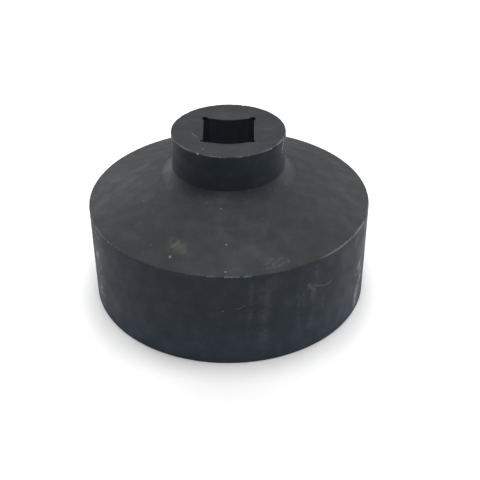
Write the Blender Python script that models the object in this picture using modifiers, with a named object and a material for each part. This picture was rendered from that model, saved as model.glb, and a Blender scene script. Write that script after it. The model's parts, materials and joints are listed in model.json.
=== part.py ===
"""Cap-type oil filter wrench: a welded steel cup with a female 3/4 inch square drive.

The wrench is a rigid weldment. A turned drive hub sits through a conical shoulder plate, the
plate's rim registers inside a thick skirt ring, and three dressed weld beads hold them together.
The skirt ring has fifteen internal flats that grip the fluted end of an oil filter.

Units are metres, +Z is up along the turning axis, and the origin is the centre of the mouth rim.
"""

import math

import bmesh
import bpy

MM = 0.001

# Driving dimensions
OUTER_RADIUS = 54.5 * MM
SHOULDER_EDGE_Z = 39.4 * MM
NECK_RADIUS = 21.6 * MM
TOP_Z = 68.0 * MM
CONE_SLOPE = math.radians(21.0)
SQUARE_SIDE = 19.3 * MM
FLAT_COUNT = 15
ACROSS_FLATS = 100.0 * MM
FIT_GAP = 0.3 * MM

# Drive hub
TOP_CHAMFER = 0.5 * MM
PILOT_RADIUS = 5.0 * MM
SPIGOT_RADIUS = 18.0 * MM
SPIGOT_CHAMFER = 0.8 * MM
HUB_BOTTOM_Z = 43.4 * MM
COUNTERSINK_RADIUS = 13.4 * MM
COUNTERSINK_SLOPE = math.radians(15.0)
SQUARE_CORNER_RADIUS = 0.8 * MM
DETENT_DEPTH_FROM_TOP = 15.0 * MM
DETENT_BALL_RADIUS = 4.2 * MM
DETENT_DEPTH = 1.1 * MM

# Shoulder cone
PLATE_THICKNESS = 5.5 * MM
LAND_RADIUS = 23.5 * MM
LAND_Z = 50.8 * MM
RIM_RADIUS = 52.5 * MM
RIM_INNER_RADIUS = 47.0 * MM
RIM_SEAT_Z = 35.3 * MM

# Skirt ring
STOP_Z = 26.0 * MM
RECESS_RADIUS = 46.0 * MM
LIP_TOP_Z = 37.5 * MM
MOUTH_BEVEL = 0.6 * MM
LEAD_IN_RADIUS = 52.0 * MM

# Weld beads
ROOT_WELD_TOP_Z = 53.7 * MM
ROOT_WELD_RADIUS = 2.5 * MM
SHOULDER_CHAMFER = 0.6 * MM
INNER_WELD_LEG = 3.2 * MM
BEAD_STEPS = 4

# Facets and cutting
BIG_STEPS = 120
SMALL_STEPS = 60
SMOOTH_ANGLE = math.radians(30.0)
CUT_MARGIN = 1.0 * MM
MERGE_DISTANCE = 0.0001 * MM


def cone_top(radius):
    """Height of the conical shoulder's outer surface at a radius."""
    return SHOULDER_EDGE_Z + (OUTER_RADIUS - radius) * math.tan(CONE_SLOPE)


def cone_underside(radius):
    """Height of the conical shoulder's inner surface at a radius."""
    return cone_top(radius) - PLATE_THICKNESS / math.cos(CONE_SLOPE)


def clear_scene():
    """Remove every object that the scene starts with."""
    for old in list(bpy.data.objects):
        bpy.data.objects.remove(old, do_unlink=True)


def new_collection(name):
    """Make a collection under the scene's own."""
    collection = bpy.data.collections.new(name)
    bpy.context.scene.collection.children.link(collection)
    return collection


def steel(name, colour, roughness):
    """Make a Principled material for one piece of blackened steel."""
    material = bpy.data.materials.new(name)
    material.use_nodes = True
    shader = material.node_tree.nodes["Principled BSDF"]
    shader.inputs["Base Color"].default_value = (*colour, 1.0)
    shader.inputs["Roughness"].default_value = roughness
    shader.inputs["Metallic"].default_value = 0.9
    return material


def turned(name, profile, steps, collection):
    """Turn a closed profile of (radius, height) points that starts down its outer side."""
    mesh = bpy.data.meshes.new(name)
    points = [(radius, 0.0, height) for radius, height in profile]
    edges = [(i, (i + 1) % len(points)) for i in range(len(points))]
    mesh.from_pydata(points, edges, [])
    obj = bpy.data.objects.new(name, mesh)
    collection.objects.link(obj)
    screw = obj.modifiers.new("Screw", "SCREW")
    screw.axis = "Z"
    screw.angle = 2 * math.pi
    screw.steps = steps
    screw.render_steps = steps
    screw.use_merge_vertices = True
    screw.merge_threshold = MERGE_DISTANCE
    return obj


def as_cutter(obj, cutters):
    """Mark an object as a cutter, which isn't part of the wrench."""
    for owner in list(obj.users_collection):
        owner.objects.unlink(obj)
    cutters.objects.link(obj)
    obj.hide_render = True
    obj.display_type = "WIRE"
    return obj


def cut(obj, cutter):
    """Subtract a cutter from a piece."""
    boolean = obj.modifiers.new("Cut", "BOOLEAN")
    boolean.operation = "DIFFERENCE"
    boolean.solver = "EXACT"
    boolean.object = cutter


def countersink_cutter(cutters):
    """The shallow cone at the mouth of the drive square."""
    inner = PILOT_RADIUS - CUT_MARGIN
    slope = math.tan(COUNTERSINK_SLOPE)
    above = TOP_Z + CUT_MARGIN
    profile = [
        (COUNTERSINK_RADIUS + CUT_MARGIN / slope, above),
        (inner, TOP_Z - (COUNTERSINK_RADIUS - inner) * slope),
        (inner, above),
    ]
    return as_cutter(turned("countersink_cut", profile, SMALL_STEPS, cutters), cutters)


def square_cutter(cutters):
    """The drive square, with its four long edges rounded."""
    low = HUB_BOTTOM_Z - CUT_MARGIN
    height = TOP_Z + CUT_MARGIN - low
    mesh = bpy.data.meshes.new("square_cut")
    shape = bmesh.new()
    bmesh.ops.create_cube(shape, size=1.0)
    bmesh.ops.scale(shape, vec=(SQUARE_SIDE, SQUARE_SIDE, height), verts=shape.verts)
    bmesh.ops.translate(shape, vec=(0.0, 0.0, low + height / 2), verts=shape.verts)
    upright = [edge for edge in shape.edges if abs(edge.verts[0].co.z - edge.verts[1].co.z) > MM]
    bmesh.ops.bevel(
        shape, geom=upright, offset=SQUARE_CORNER_RADIUS, segments=3, profile=0.5, affect="EDGES"
    )
    shape.to_mesh(mesh)
    shape.free()
    return as_cutter(bpy.data.objects.new("square_cut", mesh), cutters)


def detent_cutter(turn, cutters):
    """One shallow dimple for the detent ball, in the wall of the square that faces a turn angle."""
    reach = SQUARE_SIDE / 2 + DETENT_DEPTH - DETENT_BALL_RADIUS
    place = (reach * math.cos(turn), reach * math.sin(turn), TOP_Z - DETENT_DEPTH_FROM_TOP)
    bpy.ops.mesh.primitive_uv_sphere_add(
        segments=24, ring_count=12, radius=DETENT_BALL_RADIUS, location=place
    )
    ball = bpy.context.object
    ball.name = "detent_cut"
    return as_cutter(ball, cutters)


def drive_hub(parts, cutters):
    """Turned boss with the square drive through it and a spigot that passes through the plate."""
    seat = LAND_Z + FIT_GAP
    profile = [
        (NECK_RADIUS - TOP_CHAMFER, TOP_Z),
        (NECK_RADIUS, TOP_Z - TOP_CHAMFER),
        (NECK_RADIUS, seat),
        (SPIGOT_RADIUS, seat),
        (SPIGOT_RADIUS, HUB_BOTTOM_Z + SPIGOT_CHAMFER),
        (SPIGOT_RADIUS - SPIGOT_CHAMFER, HUB_BOTTOM_Z),
        (PILOT_RADIUS, HUB_BOTTOM_Z),
        (PILOT_RADIUS, TOP_Z),
    ]
    hub = turned("drive_hub", profile, BIG_STEPS, parts)
    cut(hub, countersink_cutter(cutters))
    cut(hub, square_cutter(cutters))
    for wall in range(4):
        cut(hub, detent_cutter(wall * math.pi / 2, cutters))
    return hub


def shoulder_cone(parts):
    """Conical plate: a sunk land and bore for the hub, and a rim that drops into the skirt ring."""
    bore = SPIGOT_RADIUS + FIT_GAP
    profile = [
        (LAND_RADIUS, cone_top(LAND_RADIUS)),
        (RIM_RADIUS, cone_top(RIM_RADIUS)),
        (RIM_RADIUS, RIM_SEAT_Z),
        (RIM_INNER_RADIUS, RIM_SEAT_Z),
        (RIM_INNER_RADIUS, cone_underside(RIM_INNER_RADIUS)),
        (bore, cone_underside(bore)),
        (bore, LAND_Z),
        (LAND_RADIUS, LAND_Z),
    ]
    return turned("shoulder_cone", profile, BIG_STEPS, parts)


def flats_cutter(cutters):
    """A fifteen-sided prism that leaves the grip flats below the filter stop."""
    half_angle = math.pi / FLAT_COUNT
    height = STOP_Z + CUT_MARGIN
    bpy.ops.mesh.primitive_cylinder_add(
        vertices=FLAT_COUNT,
        radius=ACROSS_FLATS / 2 / math.cos(half_angle),
        depth=height,
        location=(0.0, 0.0, STOP_Z - height / 2),
        # The first corner of a cylinder lies on +Y, and this turn centres one flat on +X
        rotation=(0.0, 0.0, half_angle - math.pi / 2),
    )
    prism = bpy.context.object
    prism.name = "flats_cut"
    return as_cutter(prism, cutters)


def lead_in_cutter(cutters):
    """A 45 degree cone that opens the mouth of the flats."""
    inner = RECESS_RADIUS - CUT_MARGIN
    profile = [
        (LEAD_IN_RADIUS + CUT_MARGIN, -CUT_MARGIN),
        (inner, -CUT_MARGIN),
        (inner, LEAD_IN_RADIUS - inner),
    ]
    return as_cutter(turned("lead_in_cut", profile, BIG_STEPS, cutters), cutters)


def skirt_ring(parts, cutters):
    """Thick ring with a register for the plate on top and fifteen internal flats below a stop."""
    register = RIM_RADIUS + FIT_GAP
    seat = RIM_SEAT_Z - FIT_GAP
    profile = [
        (OUTER_RADIUS, LIP_TOP_Z),
        (OUTER_RADIUS, MOUTH_BEVEL),
        (OUTER_RADIUS - MOUTH_BEVEL, 0.0),
        (RECESS_RADIUS, 0.0),
        (RECESS_RADIUS, seat),
        (register, seat),
        (register, LIP_TOP_Z),
    ]
    ring = turned("skirt_ring", profile, BIG_STEPS, parts)
    cut(ring, flats_cutter(cutters))
    cut(ring, lead_in_cutter(cutters))
    return ring


def hub_root_weld(parts):
    """Outer bead that fills the groove round the hub, dressed to a hollow fillet."""
    wall = NECK_RADIUS + FIT_GAP
    centre = NECK_RADIUS + ROOT_WELD_RADIUS
    start = math.acos((centre - wall) / ROOT_WELD_RADIUS)
    sweep = math.pi / 2 - CONE_SLOPE - start
    hollow = []
    for i in range(BEAD_STEPS + 1):
        angle = start + sweep * i / BEAD_STEPS
        radius = centre - ROOT_WELD_RADIUS * math.cos(angle)
        hollow.append((radius, ROOT_WELD_TOP_Z - ROOT_WELD_RADIUS * math.sin(angle)))
    toe = hollow[-1][0]
    seat = LAND_Z + FIT_GAP
    profile = hollow + [(toe, seat), (wall, seat)]
    return turned("hub_root_weld", profile, SMALL_STEPS, parts)


def shoulder_weld(parts):
    """Corner bead between the plate's rim and the ring's lip, dressed flush, edge chamfered."""
    inner = RIM_RADIUS + FIT_GAP
    bottom = LIP_TOP_Z + FIT_GAP
    chamfer_top = OUTER_RADIUS - SHOULDER_CHAMFER
    profile = [
        (inner, cone_top(inner)),
        (chamfer_top, cone_top(chamfer_top)),
        (OUTER_RADIUS, SHOULDER_EDGE_Z - SHOULDER_CHAMFER),
        (OUTER_RADIUS, bottom),
        (inner, bottom),
    ]
    return turned("shoulder_weld", profile, BIG_STEPS, parts)


def hub_inner_weld(parts):
    """Inner bead between the hub's spigot and the underside of the plate, left full and round."""
    wall = SPIGOT_RADIUS + FIT_GAP
    bulge = []
    for i in range(BEAD_STEPS + 1):
        angle = math.pi / 2 * i / BEAD_STEPS
        radius = wall + INNER_WELD_LEG * math.cos(angle)
        top = cone_underside(radius) - FIT_GAP
        bulge.append((radius, top - INNER_WELD_LEG * math.sin(angle)))
    profile = bulge + [(wall, cone_underside(wall) - FIT_GAP)]
    return turned("hub_inner_weld", profile, SMALL_STEPS, parts)


def finish_piece(obj, material):
    """Give a piece its material and smooth its round faces."""
    obj.data.materials.append(material)
    obj.data.shade_smooth()
    obj.data.set_sharp_from_angle(angle=SMOOTH_ANGLE)


def main():
    clear_scene()
    parts = new_collection("oil_filter_wrench")
    cutters = new_collection("cutters")
    black = (0.035, 0.038, 0.042)
    dressed = (0.050, 0.053, 0.057)
    scaled = (0.028, 0.030, 0.033)
    finish_piece(drive_hub(parts, cutters), steel("hub_steel", black, 0.42))
    finish_piece(shoulder_cone(parts), steel("cone_steel", black, 0.45))
    finish_piece(skirt_ring(parts, cutters), steel("skirt_steel", black, 0.45))
    finish_piece(hub_root_weld(parts), steel("root_weld_steel", dressed, 0.40))
    finish_piece(shoulder_weld(parts), steel("shoulder_weld_steel", dressed, 0.40))
    finish_piece(hub_inner_weld(parts), steel("inner_weld_steel", scaled, 0.60))


main()
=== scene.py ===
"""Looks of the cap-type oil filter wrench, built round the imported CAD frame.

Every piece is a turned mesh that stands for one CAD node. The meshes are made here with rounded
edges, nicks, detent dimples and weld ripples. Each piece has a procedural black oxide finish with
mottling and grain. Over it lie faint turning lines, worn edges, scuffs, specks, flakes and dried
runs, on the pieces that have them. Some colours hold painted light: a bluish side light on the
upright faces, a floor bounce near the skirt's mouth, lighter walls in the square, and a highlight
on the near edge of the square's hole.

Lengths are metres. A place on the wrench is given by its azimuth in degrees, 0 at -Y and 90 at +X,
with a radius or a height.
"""

import json
import math

import bpy
import numpy as np
from mathutils import Matrix, Vector


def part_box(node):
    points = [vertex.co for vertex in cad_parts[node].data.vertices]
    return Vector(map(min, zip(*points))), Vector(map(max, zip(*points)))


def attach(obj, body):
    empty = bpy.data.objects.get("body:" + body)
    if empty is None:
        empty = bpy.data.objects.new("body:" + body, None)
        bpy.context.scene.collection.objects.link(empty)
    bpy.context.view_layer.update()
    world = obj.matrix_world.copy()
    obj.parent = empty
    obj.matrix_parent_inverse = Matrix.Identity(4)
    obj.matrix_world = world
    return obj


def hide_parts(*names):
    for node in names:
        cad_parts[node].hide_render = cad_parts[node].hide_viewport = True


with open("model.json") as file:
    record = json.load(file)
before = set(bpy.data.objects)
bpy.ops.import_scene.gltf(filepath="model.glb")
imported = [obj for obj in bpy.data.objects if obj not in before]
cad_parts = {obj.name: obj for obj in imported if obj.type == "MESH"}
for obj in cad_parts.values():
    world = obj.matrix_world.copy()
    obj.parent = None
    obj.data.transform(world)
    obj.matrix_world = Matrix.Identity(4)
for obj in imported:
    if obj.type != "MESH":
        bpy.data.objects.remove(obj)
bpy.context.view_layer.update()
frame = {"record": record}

MM = 0.001

# Sizes read from the frame
HUB_LOW, HUB_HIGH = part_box("drive_hub")
PLATE_LOW, PLATE_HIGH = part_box("shoulder_cone")
RING_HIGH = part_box("skirt_ring")[1]
CORNER_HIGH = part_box("shoulder_weld")[1]
MOUNTS = {mount["name"]: mount["pos_m"] for mount in frame["record"]["mounts"]}
HALF_SQUARE = MOUNTS["drive_square_wall"][0]
HALF_FLATS = MOUNTS["grip_flat"][0]
STOP_Z = MOUNTS["filter_stop"][2]
OUTER_R = RING_HIGH.x
NECK_R = HUB_HIGH.x
TOP_Z = HUB_HIGH.z
HUB_BOTTOM_Z = HUB_LOW.z
RIM_R = PLATE_HIGH.x
LIP_Z = RING_HIGH.z

# Sizes that the CAD source names
FIT_GAP = 0.3 * MM
CONE_SLOPE = 21.0  # degrees
CONE_FALL = math.tan(math.radians(CONE_SLOPE))
EDGE_Z = CORNER_HIGH.z - (OUTER_R - RIM_R - FIT_GAP) * CONE_FALL
PLATE_THICKNESS = 5.5 * MM
RIM_INNER_R = 47.0 * MM
SPIGOT_R = 18.0 * MM
SPIGOT_CHAMFER = 0.8 * MM
LAND_Z = 50.8 * MM
RECESS_R = 46.0 * MM
LEAD_IN_R = 52.0 * MM
MOUTH_BEVEL = 0.6 * MM
FLAT_COUNT = 15
SINK_R = 13.4 * MM
SINK_FALL = math.tan(math.radians(15.0))
SQUARE_CORNER = 0.8 * MM
DETENT_BALL_R = 4.2 * MM
DETENT_DEPTH = 1.1 * MM
DETENT_Z = TOP_Z - 15.0 * MM
INNER_BEAD_LEG = 3.2 * MM

# Rounds that wear and finishing leave on the edges
NECK_ROUND = 0.35 * MM
SHOULDER_ROUND = 0.35 * MM
GRIP_CORNER = 0.9 * MM
STOP_FILLET = 0.3 * MM

# The dressed root bead: hollow, steep where it meets the neck, and running out along the cone
ROOT_HOLLOW = 9.0 * MM
ROOT_CREASE = 57.3  # degrees between the bead and level, where it meets the neck
ROOT_CENTRE_R = NECK_R + ROOT_HOLLOW * math.sin(math.radians(ROOT_CREASE))
ROOT_TOE_R = ROOT_CENTRE_R - ROOT_HOLLOW * math.sin(math.radians(CONE_SLOPE))

# Broaching reliefs in the corners of the square
RELIEF_REACH = 12.8 * MM  # from the axis to a relief's centre
RELIEF_R = 1.25 * MM

# Where the pieces meet, with the CAD's gaps closed
SEAT_Z = PLATE_LOW.z - FIT_GAP / 2
CORNER_SEAM_Z = LIP_Z + FIT_GAP / 2
CORNER_SEAM_R = RIM_R + FIT_GAP / 2
SPIGOT_SEAM_R = SPIGOT_R + FIT_GAP / 2
HUB_SEAT_Z = LAND_Z + FIT_GAP / 2

# Segments round each turned mesh
HUB_TURNS = 480
PLATE_TURNS = 480
SHOULDER_TURNS = 1200
RING_TURNS = 960

# The inner bead's profile steps, and half of the ripples round it
INNER_BEAD_STEPS = 14
INNER_BEAD_RIPPLES = 34


# ---- Shapes ---------------------------------------------------------------------------------


def cone_top(radius):
    """Height of the shoulder's outer surface at a radius."""
    return EDGE_Z + (OUTER_R - radius) * CONE_FALL


def cone_underside(radius):
    """Height of the shoulder's inner surface at a radius."""
    return cone_top(radius) - PLATE_THICKNESS / math.cos(math.radians(CONE_SLOPE))


def arc(radius, height, size, start, end, steps):
    """Profile points round a centre, from one angle in degrees to another."""
    angles = np.radians(np.linspace(start, end, steps + 1))
    return [(radius + size * math.cos(a), height + size * math.sin(a)) for a in angles]


def dense(rows, spacing):
    """A closed profile with its straight runs filled in, so that no step is over a spacing."""
    filled = []
    for i, (r0, z0) in enumerate(rows):
        r1, z1 = rows[(i + 1) % len(rows)]
        run, rise = np.subtract(r1, r0), np.subtract(z1, z0)
        steps = max(1, math.ceil(float(np.max(np.hypot(run, rise))) / spacing))
        filled += [(r0 + run * k / steps, z0 + rise * k / steps) for k in range(steps)]
    return filled


def turn_angles(count):
    """The angles of a turned mesh's segments, from +X."""
    return np.arange(count) * 2 * math.pi / count


def swept(rows, count):
    """Points (row, segment, xyz) of a turned profile whose radii and heights may change by turn."""
    turn = turn_angles(count)
    radius = np.array([np.broadcast_to(r, count) for r, z in rows], float)
    height = np.array([np.broadcast_to(z, count) for r, z in rows], float)
    return np.stack((radius * np.cos(turn), radius * np.sin(turn), height), axis=-1)


def polygon_radius(turn, sides, inradius, corner):
    """Distance from the axis to a regular polygon with rounded corners and a flat on +X."""
    half = math.pi / sides
    off = np.abs((turn + half) % (2 * half) - half)
    flat = inradius / np.cos(off)
    # Each corner's arc is centred on the ray through that corner
    centre = (inradius - corner) / math.cos(half)
    aside = centre * np.sin(half - off)
    bend = centre * np.cos(half - off) + np.sqrt(np.maximum(corner**2 - aside**2, 0.0))
    bend_starts = math.atan2(centre * math.sin(half), inradius)
    return np.where(off > bend_starts, bend, flat)


def square_hole(turn):
    """Distance from the axis to the drive square's walls and its corner reliefs."""
    walls = polygon_radius(turn, 4, HALF_SQUARE, SQUARE_CORNER)
    off_corner = (turn % (math.pi / 2)) - math.pi / 4
    aside = RELIEF_REACH * np.sin(off_corner)
    reach = RELIEF_REACH * np.cos(off_corner) + np.sqrt(np.maximum(RELIEF_R**2 - aside**2, 0.0))
    return np.where(np.abs(aside) < RELIEF_R, np.maximum(walls, reach), walls)


def spot(azimuth, radius, height):
    """A point from its azimuth in degrees, radius and height."""
    angle = math.radians(azimuth)
    return np.array((radius * math.sin(angle), -radius * math.cos(angle), height))


def edge_wear(points, edge_radius, edge_height, width, stretches, base):
    """Wear from 0 to 1 round an edge.

    It has a base all round, and is stronger in (azimuth, half width, peak) stretches.
    """
    azimuth = np.degrees(turn_angles(points.shape[1])) + 90.0
    strength = np.full(points.shape[1], base)
    for centre, half_width, peak in stretches:
        away = (azimuth - centre + 180.0) % 360.0 - 180.0
        strength = np.maximum(strength, peak * np.exp(-((away / half_width) ** 2)))
    radius = np.hypot(points[..., 0], points[..., 1])
    away = np.hypot(radius - edge_radius, points[..., 2] - edge_height) / width
    return np.exp(-(away**2)) * strength


def nick(points, wear, place, size, depth, bare):
    """Press a nick into an edge, towards the axis and down, and lay its metal bare."""
    near = np.exp(-(np.linalg.norm(points - place, axis=-1) / size) ** 2)
    inward = np.array((-place[0], -place[1], 0.0)) / math.hypot(place[0], place[1])
    push = (inward + np.array((0.0, 0.0, -1.0 if place[2] > HUB_BOTTOM_Z else 0.0))) * depth
    points += near[..., None] * push
    np.maximum(wear, near * bare, out=wear)


def scattered_nicks(points, wear, radius, height, seed, count, avoid):
    """Small nicks at chance places along an edge, away from a front sector given in degrees."""
    chance = np.random.default_rng(seed)
    for azimuth in chance.uniform(avoid, 360.0 - avoid, count):
        size = chance.uniform(0.25, 0.7) * MM
        depth = size * chance.uniform(0.10, 0.28)
        nick(points, wear, spot(azimuth, radius, height), size, depth, chance.uniform(0.5, 1.0))


def build(name, points, material, node, wear=None):
    """Make a closed ring-shaped mesh from swept points, as the piece that stands for a CAD node."""
    rows, count = points.shape[:2]
    row, turn = np.meshgrid(np.arange(rows), np.arange(count), indexing="ij")
    next_row, next_turn = (row + 1) % rows, (turn + 1) % count
    corners = ((row, turn), (next_row, turn), (next_row, next_turn), (row, next_turn))
    faces = np.stack([(r * count + t).ravel() for r, t in corners], axis=-1)
    mesh = bpy.data.meshes.new(name)
    mesh.from_pydata(points.reshape(-1, 3).tolist(), [], faces.tolist())
    if wear is not None:
        attribute = mesh.attributes.new("edge_wear", "FLOAT", "POINT")
        attribute.data.foreach_set("value", wear.ravel().astype(np.float32))
    mesh.shade_smooth()
    mesh.set_sharp_from_angle(angle=math.radians(30.0))
    mesh.materials.append(material)
    piece = bpy.data.objects.new(name, mesh)
    bpy.context.scene.collection.objects.link(piece)
    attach(piece, "root")
    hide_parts(node)
    return piece


# ---- Finishes -------------------------------------------------------------------------------

OXIDE = (0.0146, 0.0164, 0.0193)
# Bluer and a little darker than the plain oxide: painted bluish side light on the faces that stand
# upright
PAINTED_SIDE_LIGHT_OXIDE = (0.0074, 0.0138, 0.0208)
# Lighter and bluer: painted floor bounce on the skirt near the mouth
PAINTED_FLOOR_BOUNCE = (0.0165, 0.0275, 0.0430)
# Lighter and bluer than the oxide outside: painted light on the walls inside the square
PAINTED_LIT_SQUARE_OXIDE = (0.0280, 0.0330, 0.0440)
WORN_OXIDE = (0.034, 0.037, 0.038)
RUBBED = (0.088, 0.092, 0.092)
SMEAR = (0.046, 0.050, 0.050)
PALE_OIL = (0.046, 0.056, 0.064)
BARE_STEEL = (0.38, 0.38, 0.37)
DUST = (0.19, 0.20, 0.20)
DRIED_OIL = (0.034, 0.041, 0.048)
KHAKI = (0.070, 0.073, 0.052)
FLAKED = (0.140, 0.150, 0.160)
SCALE = (0.030, 0.027, 0.026)

# How much each noise counts in the oxide's mottling
BROAD_SHARE = 0.8
PATCH_SHARE = 0.7
SPECKLE_SHARE = 0.5
GRAIN_SHARE = 0.5
RINGS_SHARE = 0.35


class Finish:
    """A material's node tree: a base, with layers laid over it wherever their masks are 1."""

    def __init__(self, name):
        self.material = bpy.data.materials.new(name)
        self.material.use_nodes = True
        self.tree = self.material.node_tree
        self.shader = self.tree.nodes["Principled BSDF"]
        self.shader.inputs["Specular IOR Level"].default_value = 0.30
        self.place = self.node("ShaderNodeTexCoord").outputs["Object"]
        flat = self.vector("MULTIPLY", self.place, (1.0, 1.0, 0.0))
        self.radius = self.vector("LENGTH", flat)
        self.height = self.vector("DOT_PRODUCT", self.place, (0.0, 0.0, 1.0))
        # Grows along every turned face, whether it faces out, up or in between
        self.along_profile = self.math("ADD", self.radius, self.height)
        self.broad = self.noise(28 * MM, 3.0)
        self.patch = self.noise(6 * MM, 4.0)
        self.speckle = self.noise(1.3 * MM, 2.0)
        self.grain = self.noise(0.4 * MM, 2.0)
        shifted = self.vector("SUBTRACT", self.noise_vector(2.2 * MM), (0.5, 0.5, 0.5))
        self.wandering = self.vector("ADD", self.place, self.scaled(shifted, 1.6 * MM))
        self.colour = OXIDE
        self.roughness = 0.63
        self.metal = 0.0
        self.relief = 0.0

    def node(self, kind, **settings):
        made = self.tree.nodes.new(kind)
        for key, value in settings.items():
            setattr(made, key, value)
        return made

    def feed(self, socket, value):
        """Link an output to a socket, or set the socket to a plain value."""
        if isinstance(value, bpy.types.NodeSocket):
            self.tree.links.new(value, socket)
        elif isinstance(value, tuple) and len(socket.default_value) > len(value):
            socket.default_value = (*value, 1.0)
        else:
            socket.default_value = value

    def math(self, operation, first, second):
        made = self.node("ShaderNodeMath", operation=operation)
        self.feed(made.inputs[0], first)
        self.feed(made.inputs[1], second)
        return made.outputs[0]

    def times(self, first, second):
        return self.math("MULTIPLY", first, second)

    def chain(self, operation, values):
        """One operation on a whole list of values."""
        result = values[0]
        for value in values[1:]:
            result = self.math(operation, result, value)
        return result

    def vector(self, operation, first, second=None):
        made = self.node("ShaderNodeVectorMath", operation=operation)
        self.feed(made.inputs[0], first)
        if second is not None:
            self.feed(made.inputs[1], second)
        return made.outputs["Value" if operation in ("LENGTH", "DOT_PRODUCT") else "Vector"]

    def scaled(self, vector, size):
        made = self.node("ShaderNodeVectorMath", operation="SCALE")
        self.feed(made.inputs[0], vector)
        self.feed(made.inputs["Scale"], size)
        return made.outputs["Vector"]

    def noise_node(self, size, detail, place):
        made = self.node("ShaderNodeTexNoise")
        self.feed(made.inputs["Vector"], place)
        self.feed(made.inputs["Scale"], 1.0 / size)
        self.feed(made.inputs["Detail"], detail)
        return made

    def noise(self, size, detail, place=None):
        """Noise round 0.5, with features of a size."""
        return self.noise_node(size, detail, self.place if place is None else place).outputs["Fac"]

    def noise_vector(self, size):
        return self.noise_node(size, 2.0, self.place).outputs["Color"]

    def rings(self, pitch):
        """Noise round 0.5 that changes only along the profile, so it draws rings round the axis."""
        made = self.node("ShaderNodeTexNoise", noise_dimensions="1D")
        self.feed(made.inputs["W"], self.times(self.along_profile, 1.0 / pitch))
        self.feed(made.inputs["Scale"], 1.0)
        self.feed(made.inputs["Detail"], 2.0)
        return made.outputs["Fac"]

    def ramp(self, value, low, high, to_low=0.0, to_high=1.0):
        """A smooth step of a value from one range to another."""
        made = self.node("ShaderNodeMapRange", interpolation_type="SMOOTHSTEP")
        for socket, item in zip(made.inputs, (value, low, high, to_low, to_high)):
            self.feed(socket, item)
        return made.outputs["Result"]

    def mix(self, kind, share, first, second):
        """A mix of two colours, kind RGBA, or of two numbers, kind FLOAT."""
        made = self.node("ShaderNodeMix", data_type=kind)
        sockets = [socket for socket in made.inputs if socket.enabled]
        for socket, value in zip(sockets, (share, first, second)):
            self.feed(socket, value)
        return next(socket for socket in made.outputs if socket.enabled)

    def lay(self, mask, colour, roughness, metal=0.0, relief=0.0):
        """Lay a coat over the finish where a mask is 1, standing proud by a relief in mm."""
        self.colour = self.mix("RGBA", mask, self.colour, colour)
        self.roughness = self.mix("FLOAT", mask, self.roughness, roughness)
        self.metal = self.mix("FLOAT", mask, self.metal, metal)
        if relief:
            self.relief = self.math("ADD", self.relief, self.times(mask, relief))

    def raise_by(self, noise, height):
        """Add a noise to the relief, with a height in mm."""
        self.relief = self.math("ADD", self.relief, self.times(noise, height))

    def line(self, points, width, soft, place):
        """1 along a line of points, falling to 0 past its half width."""
        ends = zip(points[:-1], points[1:])
        return self.chain("MAXIMUM", [self.stroke(*pair, width, soft, place) for pair in ends])

    def stroke(self, start, end, width, soft, place):
        span = end - start
        reach = self.vector("SUBTRACT", place, tuple(start))
        along = self.vector("DOT_PRODUCT", reach, tuple(span / (span @ span)))
        clamped = self.node("ShaderNodeClamp")
        self.feed(clamped.inputs["Value"], along)
        reach = self.vector("SUBTRACT", reach, self.scaled(tuple(span), clamped.outputs[0]))
        inner, outer = width / 2 * (1 - soft), width / 2 * (1 + soft)
        return self.ramp(self.vector("LENGTH", reach), inner, outer, 1.0, 0.0)

    def dot(self, place, size, soft=0.5):
        """1 inside a spot of a size, falling to 0 past its edge."""
        away = self.vector("LENGTH", self.vector("SUBTRACT", self.wandering, tuple(place)))
        return self.ramp(away, size / 2 * (1 - soft), size / 2 * (1 + soft), 1.0, 0.0)

    def broken(self, mask, noise, low, high):
        """A mask broken up by a noise, and so patchy."""
        return self.times(mask, self.ramp(noise, low, high))

    def done(self):
        """Link the finish to the shader, and return the material."""
        self.feed(self.shader.inputs["Base Color"], self.colour)
        self.feed(self.shader.inputs["Roughness"], self.roughness)
        self.feed(self.shader.inputs["Metallic"], self.metal)
        bump = self.node("ShaderNodeBump")
        self.feed(bump.inputs["Strength"], 1.0)
        self.feed(bump.inputs["Distance"], MM)
        self.feed(bump.inputs["Height"], self.relief)
        self.feed(self.shader.inputs["Normal"], bump.outputs["Normal"])
        return self.material


def oxide(name, colour=OXIDE, turned=1.0, rubbed=0.16):
    """Blue-black oxide over steel: mottled, finely grained and faintly turned."""
    f = Finish(name)
    tone = f.chain("ADD", [
        f.times(f.broad, BROAD_SHARE),
        f.times(f.patch, PATCH_SHARE),
        f.times(f.speckle, SPECKLE_SHARE),
        f.times(f.grain, GRAIN_SHARE),
        f.times(f.rings(2.4 * MM), RINGS_SHARE * turned),
    ])
    # Every noise lies round 0.5, so their sum lies round half of its shares
    shares = BROAD_SHARE + PATCH_SHARE + SPECKLE_SHARE + GRAIN_SHARE + RINGS_SHARE * turned
    middle = 0.5 * shares
    shade = f.ramp(tone, middle - 0.55, middle + 0.55, 0.78, 1.22)
    f.colour = f.scaled(colour, shade)
    f.roughness = f.ramp(f.patch, 0.3, 0.7, 0.67, 0.59)
    # Thin places where handling has greyed the oxide
    thin = f.math("ADD", f.patch, f.times(f.speckle, 0.5))
    f.lay(f.ramp(thin, 0.78, 1.02, 0.0, rubbed), WORN_OXIDE, 0.56)
    f.raise_by(f.grain, 0.022)
    f.raise_by(f.speckle, 0.030)
    f.raise_by(f.rings(0.45 * MM), 0.010 * turned)
    return f


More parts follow.
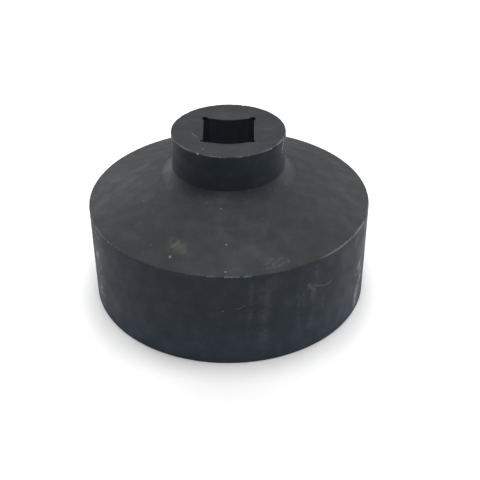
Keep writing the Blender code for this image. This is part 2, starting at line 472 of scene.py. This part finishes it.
def bare_edges(f):
    """Edges rubbed pale, and knocked down to bare steel where the mesh's wear is strongest."""
    worn = f.node("ShaderNodeAttribute", attribute_name="edge_wear").outputs["Fac"]
    ragged = f.chain("ADD", [worn, f.times(f.speckle, 0.35), f.times(f.grain, 0.25)])
    f.lay(f.ramp(ragged, 0.50, 0.80, 0.0, 0.9), RUBBED, 0.50)
    f.lay(f.ramp(ragged, 0.98, 1.16), BARE_STEEL, 0.38, metal=0.6)


def scratches(f, places, width, strength):
    """Fine pale lines through lists of points, all of one width."""
    masks = [f.line(points, width, 0.6, f.place) for points in places]
    mask = f.broken(f.chain("MAXIMUM", masks), f.speckle, 0.25, 0.45)
    f.lay(f.times(mask, strength), DUST, 0.55, relief=-0.02)


def stains(f, places, width, colour, strength):
    """Soft, wandering and broken marks through lists of points, all of one width."""
    masks = [f.line(points, width, 0.9, f.wandering) for points in places]
    noise = f.math("ADD", f.times(f.patch, 0.6), f.times(f.speckle, 0.4))
    mask = f.broken(f.chain("MAXIMUM", masks), noise, 0.36, 0.60)
    f.lay(f.times(mask, strength), colour, 0.68)


def specks(f, places, size, strength):
    """Small spots of dust or chipped oxide."""
    masks = [f.dot(place, size) for place in places]
    f.lay(f.times(f.chain("MAXIMUM", masks), strength), DUST, 0.60, relief=-0.02)


def fine_dust(f, spacing, size):
    """Chance specks all over: one in some cells of a grid of cells."""
    cells = f.node("ShaderNodeTexVoronoi")
    f.feed(cells.inputs["Vector"], f.place)
    f.feed(cells.inputs["Scale"], 1.0 / spacing)
    inside = f.ramp(cells.outputs["Distance"], 0.5 * size / spacing, size / spacing, 1.0, 0.0)
    chosen = f.ramp(f.vector("DOT_PRODUCT", cells.outputs["Color"], (1.0, 0.0, 0.0)), 0.80, 0.90)
    f.lay(f.times(f.times(inside, chosen), 0.55), DUST, 0.65)


def chance_lines(surface, seed, count, sector, across, length):
    """Short straight lines at chance places on a surface, each of two points.

    The sector gives the azimuths and across the heights or radii, as lowest and highest.
    """
    chance = np.random.default_rng(seed)
    lines = []
    for _ in range(count):
        azimuth, place = chance.uniform(*sector), chance.uniform(*across)
        reach, lean = chance.uniform(*length), chance.uniform(0.0, 2 * math.pi)
        turn = math.degrees(reach * math.cos(lean) / OUTER_R)
        end = float(np.clip(place + reach * math.sin(lean), *across))
        lines.append([surface(azimuth, place), surface(azimuth + turn, end)])
    return lines


def on_skirt(azimuth, height):
    return spot(azimuth, OUTER_R, height)


def on_cone(azimuth, radius):
    return spot(azimuth, radius, cone_top(radius))


def on_neck(azimuth, height):
    return spot(azimuth, NECK_R, height)


def on_top(azimuth, radius):
    return spot(azimuth, radius, TOP_Z)


def through(surface, *places):
    """The points of a line through (azimuth, height or radius in mm) places on a surface."""
    return [surface(azimuth, across * MM) for azimuth, across in places]


def chance_runs(seed, count, sector, heights):
    """Upright runs at chance places on the skirt, between two azimuths and two heights."""
    chance = np.random.default_rng(seed)
    runs = []
    for _ in range(count):
        azimuth = chance.uniform(*sector)
        low, high = sorted(chance.uniform(*heights, 2))
        middle = on_skirt(azimuth + chance.uniform(-0.7, 0.7), (low + high) / 2)
        end = on_skirt(azimuth + chance.uniform(-0.9, 0.9), low)
        runs.append([on_skirt(azimuth, high), middle, end])
    return runs


def chance_spots(seed, count, sector, heights):
    """Chance places on the skirt, between two azimuths and two heights."""
    chance = np.random.default_rng(seed)
    return [on_skirt(chance.uniform(*sector), chance.uniform(*heights)) for _ in range(count)]


def skirt_finish():
    """The skirt: dried runs, a hooked scratch, scuffed and flaked sides, and specks."""
    # The skirt takes the oxide with painted bluish side light
    f = oxide("skirt_oxide", PAINTED_SIDE_LIGHT_OXIDE)
    # Lighter and bluer towards the mouth: a painted floor bounce
    near_mouth = f.ramp(f.height, 1 * MM, 21 * MM, 0.75, 0.0)
    mouth = f.scaled(PAINTED_FLOOR_BOUNCE, f.ramp(f.patch, 0.3, 0.7, 0.82, 1.18))
    f.colour = f.mix("RGBA", near_mouth, f.colour, mouth)
    bare_edges(f)
    broad_run = through(on_skirt, (15.6, 37.0), (15.2, 30.0), (13.9, 16.0), (13.4, 4.0))
    stains(f, [broad_run], 5.0 * MM, DRIED_OIL, 0.55)
    wide_runs = [
        through(on_skirt, (9.4, 36.0), (9.2, 24.0), (8.9, 9.0)),
        through(on_skirt, (15.8, 33.0), (14.4, 18.0), (13.6, 3.0)),
        through(on_skirt, (35.5, 38.7), (36.4, 31.0)),
        through(on_skirt, (35.2, 26.4), (34.0, 14.5), (33.2, 8.0)),
        through(on_skirt, (128.0, 36.0), (126.5, 20.0), (128.5, 8.0)),
        through(on_skirt, (226.0, 37.0), (224.0, 24.0), (225.5, 12.0)),
    ]
    stains(f, wide_runs, 1.9 * MM, DRIED_OIL, 0.60)
    thin_runs = chance_runs(2, 7, (24.0, 42.0), (5 * MM, 30 * MM))
    thin_runs += chance_runs(8, 8, (95.0, 300.0), (4 * MM, 34 * MM))
    stains(f, thin_runs, 1.0 * MM, DRIED_OIL, 0.60)
    side_scuffs = [
        through(on_skirt, (67.9, 27.0), (66.9, 15.0), (66.6, 2.5)),
        through(on_skirt, (70.5, 38.0), (70.0, 22.0), (69.0, 9.0)),
        through(on_skirt, (-67.6, 27.0), (-66.0, 17.0), (-64.4, 8.0)),
        through(on_skirt, (32.4, 29.8), (34.2, 28.2), (35.4, 26.4)),
    ]
    stains(f, side_scuffs, 1.3 * MM, PALE_OIL, 0.95)
    rub = through(on_skirt, (61.5, 35.6), (62.9, 31.4), (64.6, 27.2))
    stains(f, [rub], 3.4 * MM, PALE_OIL, 0.90)
    flaked = [
        through(on_skirt, (67.4, 21.2), (69.8, 18.2), (70.2, 13.0)),
        through(on_skirt, (66.6, 10.4), (65.2, 7.4), (64.6, 3.9)),
        through(on_skirt, (-65.0, 26.6), (-67.2, 24.6)),
        through(on_skirt, (-65.0, 10.8), (-66.4, 8.6)),
    ]
    stains(f, flaked, 3.2 * MM, FLAKED, 1.0)
    hook = through(on_skirt, (35.8, 28.4), (40.5, 26.3), (42.6, 26.2), (44.3, 26.9))
    scratches(f, [hook], 0.45 * MM, 0.26)
    front_arc = through(on_skirt, (3.4, 25.4), (5.4, 25.8), (7.0, 27.0))
    scratches(f, [front_arc], 0.40 * MM, 0.13)
    side_line = through(on_skirt, (74.8, 36.5), (73.8, 29.5), (72.3, 22.3))
    scratches(f, [side_line], 0.60 * MM, 0.60)
    others = chance_lines(on_skirt, 5, 10, (75.0, 300.0), (4 * MM, 36 * MM), (2 * MM, 5 * MM))
    scratches(f, others, 0.26 * MM, 0.16)
    chips = through(on_skirt, (-1.2, 24.6), (7.8, 24.2), (67.6, 12.0), (71.0, 31.0))
    chips += chance_spots(9, 9, (63.0, 75.0), (4 * MM, 38 * MM))
    chips += chance_spots(12, 6, (100.0, 260.0), (4 * MM, 38 * MM))
    specks(f, chips, 0.5 * MM, 0.75)
    right_places = [(66.8, 13.9), (67.4, 11.0), (66.1, 8.4), (65.8, 6.0), (66.0, 3.6)]
    right_chips = through(on_skirt, *right_places)
    left_chips = chance_spots(4, 12, (-74.0, -62.0), (6 * MM, 38 * MM))
    specks(f, right_chips + left_chips, 0.90 * MM, 0.80)
    large_places = [(70.2, 16.9), (67.2, 20.8), (65.4, 7.8), (65.2, 4.8), (-66.4, 25.5)]
    specks(f, through(on_skirt, *large_places), 1.4 * MM, 0.85)
    fine_dust(f, 9 * MM, 0.30 * MM)
    return f.done()


def cone_finish():
    """The shoulder: specks of dust, a khaki smudge, pale smears and light scuffs round it."""
    f = oxide("cone_oxide")
    blot = f.chain("MAXIMUM", [
        f.dot(on_cone(-23.2, 45.0 * MM), 5.8 * MM, 0.6),
        f.line(through(on_cone, (-26.4, 43.2), (-19.9, 46.0)), 3.0 * MM, 0.8, f.wandering),
    ])
    f.lay(f.times(f.broken(blot, f.patch, 0.30, 0.58), 0.68), KHAKI, 0.66)
    scratches(f, [through(on_cone, (-25.1, 45.6), (-23.4, 43.0))], 0.6 * MM, 0.20)
    smears = [
        through(on_cone, (-25.2, 45.6), (-23.6, 43.0)),
        through(on_cone, (16.0, 50.6), (19.1, 49.0)),
        through(on_cone, (18.2, 51.6), (22.9, 49.3)),
        through(on_cone, (21.0, 51.9), (24.9, 51.6)),
        through(on_cone, (15.0, 52.6), (20.0, 52.8)),
        through(on_cone, (106.3, 44.2), (101.3, 48.9)),
    ]
    stains(f, smears, 1.3 * MM, SMEAR, 0.80)
    scuff = through(on_cone, (-112.0, 31.3), (-102.0, 38.6), (-95.0, 45.8))
    stains(f, [scuff], 2.4 * MM, SMEAR, 0.35)
    others = chance_lines(on_cone, 11, 3, (160.0, 200.0), (30 * MM, 50 * MM), (1.5 * MM, 4 * MM))
    scratches(f, others, 0.24 * MM, 0.15)
    specks(f, [on_cone(-23.6, 49.4 * MM)], 0.95 * MM, 0.85)
    dust = [(-0.1, 52.4), (-0.1, 41.9), (-4.7, 27.2)]
    specks(f, [on_cone(azimuth, radius * MM) for azimuth, radius in dust], 0.62 * MM, 0.65)
    faint = [(-62.2, 35.5), (97.5, 26.8), (-34.7, 47.4)]
    specks(f, [on_cone(azimuth, radius * MM) for azimuth, radius in faint], 0.55 * MM, 0.35)
    fine_dust(f, 8 * MM, 0.28 * MM)
    return f.done()


def hub_finish():
    """The neck: worn round its rim, scratched on top, with broached walls in its square."""
    f = oxide("hub_oxide", PAINTED_SIDE_LIGHT_OXIDE, turned=1.2)
    # The top face keeps the plain oxide, and so is greyer than the wall, whose bluer oxide is
    # painted side light
    on_face = f.ramp(f.radius, NECK_R - 0.5 * MM, NECK_R - 0.2 * MM, 1.0, 0.0)
    plain_top_face = f.scaled(OXIDE, f.ramp(f.patch, 0.3, 0.7, 0.9, 1.2))
    f.colour = f.mix("RGBA", on_face, f.colour, plain_top_face)
    bare_edges(f)
    # Broaching draws upright lines on the walls of the square, as noise drawn out in height does
    stretched = f.vector("MULTIPLY", f.place, (1.0, 1.0, 0.03))
    broached = f.noise(0.5 * MM, 2.0, stretched)
    inside = f.ramp(f.radius, SINK_R + 0.6 * MM, SINK_R + 0.9 * MM, 1.0, 0.0)
    in_square = f.times(inside, f.ramp(f.height, TOP_Z - 1.6 * MM, TOP_Z - 1.0 * MM, 1.0, 0.0))
    # The walls of the square are painted lighter and bluer, as painted light in the hole, with the
    # broaching streaks on it
    lit_streaks = f.scaled(PAINTED_LIT_SQUARE_OXIDE, f.ramp(broached, 0.3, 0.7, 0.90, 1.10))
    f.colour = f.mix("RGBA", in_square, f.colour, lit_streaks)
    f.raise_by(f.times(broached, in_square), 0.06)
    left_line = through(on_top, (-75.6, 13.9), (-59.1, 12.9))
    scratches(f, [left_line], 0.35 * MM, 0.40)
    right_line = through(on_top, (90.5, 12.9), (94.4, 16.8))
    scratches(f, [right_line], 0.35 * MM, 0.16)
    knock = through(on_neck, (73.4, 67.2), (69.6, 64.4), (67.8, 62.8))
    scratches(f, [knock], 0.85 * MM, 1.0)
    side_lines = [
        through(on_neck, (148.0, 62.0), (153.0, 61.0)),
        through(on_neck, (-118.0, 64.0), (-114.0, 60.5)),
    ]
    scratches(f, side_lines, 0.35 * MM, 0.22)
    specks(f, [on_top(-29.3, 17.9 * MM)], 0.75 * MM, 0.60)
    fine_dust(f, 7 * MM, 0.25 * MM)
    return f.done()


def shoulder_bead_finish():
    """The dressed corner, whose edge is the first to be knocked."""
    f = oxide("shoulder_bead_oxide")
    # Below the edge the upright face takes the oxide with painted bluish side light
    below = f.ramp(f.height, EDGE_Z - 0.6 * MM, EDGE_Z - 0.25 * MM, 1.0, 0.0)
    f.colour = f.mix("RGBA", below, f.colour, PAINTED_SIDE_LIGHT_OXIDE)
    bare_edges(f)
    return f.done()


def root_bead_finish():
    """The dressed hollow under the neck, with the dust that wiping never reaches."""
    f = oxide("root_bead_oxide", rubbed=0.3)
    f.lay(f.ramp(f.speckle, 0.45, 0.75, 0.0, 0.15), WORN_OXIDE, 0.66)
    return f.done()


def inner_bead_finish():
    """The weld inside: rougher, with brownish scale between its ripples."""
    f = oxide("inner_bead_oxide", turned=0.0)
    f.lay(f.ramp(f.patch, 0.42, 0.66, 0.0, 0.7), SCALE, 0.75)
    f.raise_by(f.speckle, 0.12)
    return f.done()


# ---- Pieces ---------------------------------------------------------------------------------


def make_hub():
    """The neck, with the drive square through it and the spigot that ends inside the cup."""
    hole = square_hole(turn_angles(HUB_TURNS))
    # The countersink's rim, pushed out where a corner relief passes it
    rim = np.maximum(SINK_R, hole + 0.1 * MM)
    hole_edge = 0.15 * MM
    rows = arc(NECK_R - NECK_ROUND, TOP_Z - NECK_ROUND, NECK_ROUND, 90, 0, 8)
    rows += [(NECK_R, HUB_SEAT_Z), (SPIGOT_SEAM_R, HUB_SEAT_Z)]
    rows += [(SPIGOT_SEAM_R, HUB_BOTTOM_Z + SPIGOT_CHAMFER)]
    rows += [(SPIGOT_R - SPIGOT_CHAMFER, HUB_BOTTOM_Z)]
    rows += [(hole + hole_edge, HUB_BOTTOM_Z), (hole, HUB_BOTTOM_Z + hole_edge)]
    rows += [(hole, sink_surface(hole) - hole_edge)]
    for share in (0.04, 0.5, 0.94, 1.0):
        radius = hole + (rim - hole) * share
        rows.append((radius, sink_surface(radius)))
    rows += [(rim + 0.1 * MM, TOP_Z)]
    points = swept(dense(rows, 0.5 * MM), HUB_TURNS)
    press_detents(points)
    stretches = [(-47, 18, 0.62), (-14, 16, 0.50), (12, 12, 0.46), (40, 16, 0.52), (64, 14, 0.60)]
    wear = edge_wear(points, NECK_R, TOP_Z, 0.5 * MM, stretches + [(175, 40, 0.5)], 0.36)
    # The hole's edge is rubbed a little all round, and painted paler most at the front: a painted
    # highlight along the near edge
    off_hole = np.abs(np.hypot(points[..., 0], points[..., 1]) - hole)
    at_edge = (off_hole < 0.35 * MM) & (points[..., 2] > TOP_Z - 1.4 * MM)
    rubbed = 0.24 - 0.14 * np.sin(turn_angles(HUB_TURNS))
    wear = np.maximum(wear, np.where(at_edge, rubbed, 0.0))
    for azimuth, size, depth in ((-29.8, 0.55, 0.22), (47.9, 0.45, 0.18), (-6.6, 0.30, 0.10)):
        nick(points, wear, spot(azimuth, NECK_R, TOP_Z), size * MM, depth * MM, 1.0)
    scattered_nicks(points, wear, NECK_R, TOP_Z, 3, 9, 75.0)
    build("hub_turning", points, hub_finish(), "drive_hub", wear)


def sink_surface(radius):
    """Height of the countersink, or of the top face outside it."""
    return TOP_Z - np.maximum(SINK_R - radius, 0.0) * SINK_FALL


def press_detents(points):
    """Press the four detent ball dimples into the walls of the square."""
    centre = HALF_SQUARE + DETENT_DEPTH - DETENT_BALL_R
    for wall in range(4):
        out = np.array((math.cos(wall * math.pi / 2), math.sin(wall * math.pi / 2), 0.0))
        from_ball = points - out * centre - np.array((0.0, 0.0, DETENT_Z))
        off_wall = from_ball @ out
        across = from_ball - off_wall[..., None] * out
        reach = np.maximum(DETENT_BALL_R**2 - np.sum(across**2, axis=-1), 0.0)
        depth = np.sqrt(reach) - off_wall
        on_wall = np.abs(off_wall + centre - HALF_SQUARE) < 0.05 * MM
        points += np.where(on_wall & (depth > 0), depth, 0.0)[..., None] * out


def make_root_bead():
    """The hollow bead round the neck, creased against the neck and tangent to the cone."""
    centre_z = cone_top(ROOT_TOE_R) + ROOT_HOLLOW * math.cos(math.radians(CONE_SLOPE))
    rows = arc(ROOT_CENTRE_R, centre_z, ROOT_HOLLOW, 270 - ROOT_CREASE, 270 - CONE_SLOPE, 18)
    rows += [(NECK_R, HUB_SEAT_Z)]
    points = swept(dense(rows, 0.6 * MM), PLATE_TURNS)
    build("root_bead", points, root_bead_finish(), "hub_root_weld")


def make_plate():
    """The conical shoulder."""
    rows = [(ROOT_TOE_R, cone_top(ROOT_TOE_R)), (CORNER_SEAM_R, cone_top(CORNER_SEAM_R))]
    rows += [(CORNER_SEAM_R, SEAT_Z), (RIM_INNER_R, SEAT_Z)]
    rows += [(RIM_INNER_R, cone_underside(RIM_INNER_R))]
    rows += [(SPIGOT_SEAM_R, cone_underside(SPIGOT_SEAM_R)), (SPIGOT_SEAM_R, HUB_SEAT_Z)]
    rows += [(NECK_R, HUB_SEAT_Z)]
    points = swept(dense(rows, 1.5 * MM), PLATE_TURNS)
    build("shoulder_plate", points, cone_finish(), "shoulder_cone")


def make_shoulder_bead():
    """The dressed corner between the shoulder and the skirt, with its nicks."""
    # The round is tangent to the cone and to the skirt
    centre_r = OUTER_R - SHOULDER_ROUND
    centre_z = cone_top(centre_r) - SHOULDER_ROUND / math.cos(math.radians(CONE_SLOPE))
    rows = [(CORNER_SEAM_R, cone_top(CORNER_SEAM_R))]
    rows += arc(centre_r, centre_z, SHOULDER_ROUND, 90 - CONE_SLOPE, 0, 8)
    rows += [(OUTER_R, CORNER_SEAM_Z), (CORNER_SEAM_R, CORNER_SEAM_Z)]
    points = swept(dense(rows, 0.3 * MM), SHOULDER_TURNS)
    stretches = [(48, 13, 0.60), (64, 8, 0.72), (80, 8, 0.55), (-60, 22, 0.42), (-5.5, 3, 0.45)]
    stretches += [(8.0, 3, 0.50), (120, 20, 0.45), (165, 14, 0.6), (200, 24, 0.4), (255, 12, 0.55)]
    wear = edge_wear(points, OUTER_R, EDGE_Z, 0.6 * MM, stretches, 0.26)
    chance = np.random.default_rng(23)
    for azimuth in np.arange(-0.2, 4.9, 0.3):
        size, bare = chance.uniform(0.24, 0.44) * MM, chance.uniform(0.75, 1.0)
        nick(points, wear, spot(azimuth, OUTER_R, EDGE_Z), size, 0.10 * MM, bare)
    for azimuth, size, depth in ((-5.4, 0.7, 0.14), (60.6, 0.6, 0.16), (64.6, 0.45, 0.12)):
        nick(points, wear, spot(azimuth, OUTER_R, EDGE_Z), size * MM, depth * MM, 0.55)
    scattered_nicks(points, wear, OUTER_R, EDGE_Z, 17, 16, 75.0)
    finish = shoulder_bead_finish()
    build("shoulder_bead", points, finish, "shoulder_weld", wear)


def make_ring():
    """The skirt: round outside, fifteen grip flats inside, with a stop and a register above."""
    flats = polygon_radius(turn_angles(RING_TURNS), FLAT_COUNT, HALF_FLATS, GRIP_CORNER)
    rows = [(OUTER_R, CORNER_SEAM_Z)]
    rows += arc(OUTER_R - MOUTH_BEVEL, MOUTH_BEVEL, MOUTH_BEVEL, 0, -90, 8)
    rows += [(LEAD_IN_R + 0.1 * MM, 0.0), (LEAD_IN_R, 0.05 * MM)]
    rows += [(flats, LEAD_IN_R - flats), (flats, STOP_Z)]
    rows += arc(RECESS_R + STOP_FILLET, STOP_Z + STOP_FILLET, STOP_FILLET, 270, 180, 4)
    rows += [(RECESS_R, SEAT_Z), (CORNER_SEAM_R, SEAT_Z), (CORNER_SEAM_R, CORNER_SEAM_Z)]
    points = swept(dense(rows, 1.2 * MM), RING_TURNS)
    stretches = [(-60, 20, 0.5), (20, 30, 0.4), (75, 12, 0.55), (150, 30, 0.5), (240, 25, 0.55)]
    wear = edge_wear(points, OUTER_R, 0.0, 0.6 * MM, stretches, 0.3)
    wear = np.maximum(wear, edge_wear(points, LEAD_IN_R, 0.0, 0.6 * MM, [], 0.55))
    build("skirt_cup_ring", points, skirt_finish(), "skirt_ring", wear)


def make_inner_bead():
    """The undressed weld inside the cup, with the ripples of its passes."""
    turn = turn_angles(HUB_TURNS)
    rows = []
    for i in range(INNER_BEAD_STEPS + 1):
        angle = math.pi / 2 * i / INNER_BEAD_STEPS
        ripple = np.abs(np.sin(turn * INNER_BEAD_RIPPLES + 0.9 * math.cos(2 * angle)))
        leg = INNER_BEAD_LEG * (0.92 + 0.08 * ripple)
        radius = SPIGOT_SEAM_R + leg * math.cos(angle)
        rows.append((radius, cone_underside(radius) - leg * math.sin(angle)))
    rows += [(SPIGOT_SEAM_R, cone_underside(SPIGOT_SEAM_R))]
    points = swept(rows, HUB_TURNS)
    build("inner_bead", points, inner_bead_finish(), "hub_inner_weld")


# ---- Stage ----------------------------------------------------------------------------------

FLOOR_R = 0.8
FLOOR_SIDES = 96
LAMP_SIZE = 0.7
LAMP_REACH = 1.2
LAMP_AIM = Vector((0.0, 0.0, 0.03))

# The camera: azimuth and turns in degrees, reach from the axis and height in metres, lens in mm
CAMERA_AZIMUTH = 1.6
CAMERA_REACH = 5.536 * OUTER_R
CAMERA_HEIGHT = 4.098 * OUTER_R
SENSOR_WIDTH = 36.0
LENS = 67.37
CAMERA_TURN = 0.80
CAMERA_TILT = 55.73
CAMERA_ROLL = -0.21

# Name, azimuth and elevation in degrees, power in watts
LAMPS = (
    ("top", 0.0, 90.0, 11.5),
    ("front", 0.0, 52.0, 3.7),
    ("back", 180.0, 52.0, 4.3),
    ("right", 90.0, 18.0, 3.9),
    ("back_right", 135.0, 18.0, 5.2),
    ("back_left", 225.0, 18.0, 6.4),
    ("left", 270.0, 18.0, 0.7),
)


def make_camera():
    """The camera, at a three-quarter view from above."""
    azimuth = math.radians(CAMERA_AZIMUTH)
    data = bpy.data.cameras.new("camera")
    data.sensor_width = SENSOR_WIDTH
    data.lens = LENS
    data.clip_start = 0.01
    camera = bpy.data.objects.new("camera", data)
    bpy.context.scene.collection.objects.link(camera)
    across, back = CAMERA_REACH * math.sin(azimuth), CAMERA_REACH * math.cos(azimuth)
    place = Matrix.Translation((across, -back, CAMERA_HEIGHT))
    turn = Matrix.Rotation(math.radians(CAMERA_TURN), 4, "Z")
    tilt = Matrix.Rotation(math.radians(CAMERA_TILT), 4, "X")
    roll = Matrix.Rotation(math.radians(CAMERA_ROLL), 4, "Z")
    camera.matrix_world = place @ turn @ tilt @ roll
    bpy.context.scene.camera = camera


def make_floor():
    """A plain pale round of floor under the wrench."""
    turn = turn_angles(FLOOR_SIDES)
    corners = np.stack((np.cos(turn), np.sin(turn), np.zeros(FLOOR_SIDES)), axis=-1) * FLOOR_R
    mesh = bpy.data.meshes.new("floor")
    mesh.from_pydata(corners.tolist(), [], [tuple(range(FLOOR_SIDES))])
    material = bpy.data.materials.new("floor")
    material.use_nodes = True
    shader = material.node_tree.nodes["Principled BSDF"]
    shader.inputs["Base Color"].default_value = (0.90, 0.90, 0.90, 1.0)
    shader.inputs["Roughness"].default_value = 0.9
    shader.inputs["Specular IOR Level"].default_value = 0.1
    mesh.materials.append(material)
    floor = bpy.data.objects.new("floor", mesh)
    bpy.context.scene.collection.objects.link(floor)


def make_lamp(name, azimuth, elevation, power):
    """A soft round lamp that faces the wrench."""
    data = bpy.data.lights.new(name, "AREA")
    data.shape = "DISK"
    data.size = LAMP_SIZE
    data.energy = power
    lamp = bpy.data.objects.new(name, data)
    flat = LAMP_REACH * math.cos(math.radians(elevation))
    away = Vector(spot(azimuth, flat, LAMP_REACH * math.sin(math.radians(elevation))))
    lamp.location = LAMP_AIM + away
    lamp.rotation_mode = "QUATERNION"
    lamp.rotation_quaternion = away.to_track_quat("Z", "Y")
    lamp.visible_camera = False
    bpy.context.scene.collection.objects.link(lamp)


def make_room():
    """A white backdrop that only the camera sees, with no light of its own on the wrench."""
    world = bpy.data.worlds.new("room")
    world.use_nodes = True
    background = world.node_tree.nodes["Background"]
    background.inputs["Color"].default_value = (1.0, 1.0, 1.0, 1.0)
    background.inputs["Strength"].default_value = 1.0
    world.cycles_visibility.diffuse = False
    world.cycles_visibility.glossy = False
    bpy.context.scene.world = world
    bpy.context.scene.view_settings.view_transform = "Standard"


make_camera()
make_floor()
make_room()
for lamp_settings in LAMPS:
    make_lamp(*lamp_settings)
make_hub()
make_root_bead()
make_plate()
make_shoulder_bead()
make_ring()
make_inner_bead()
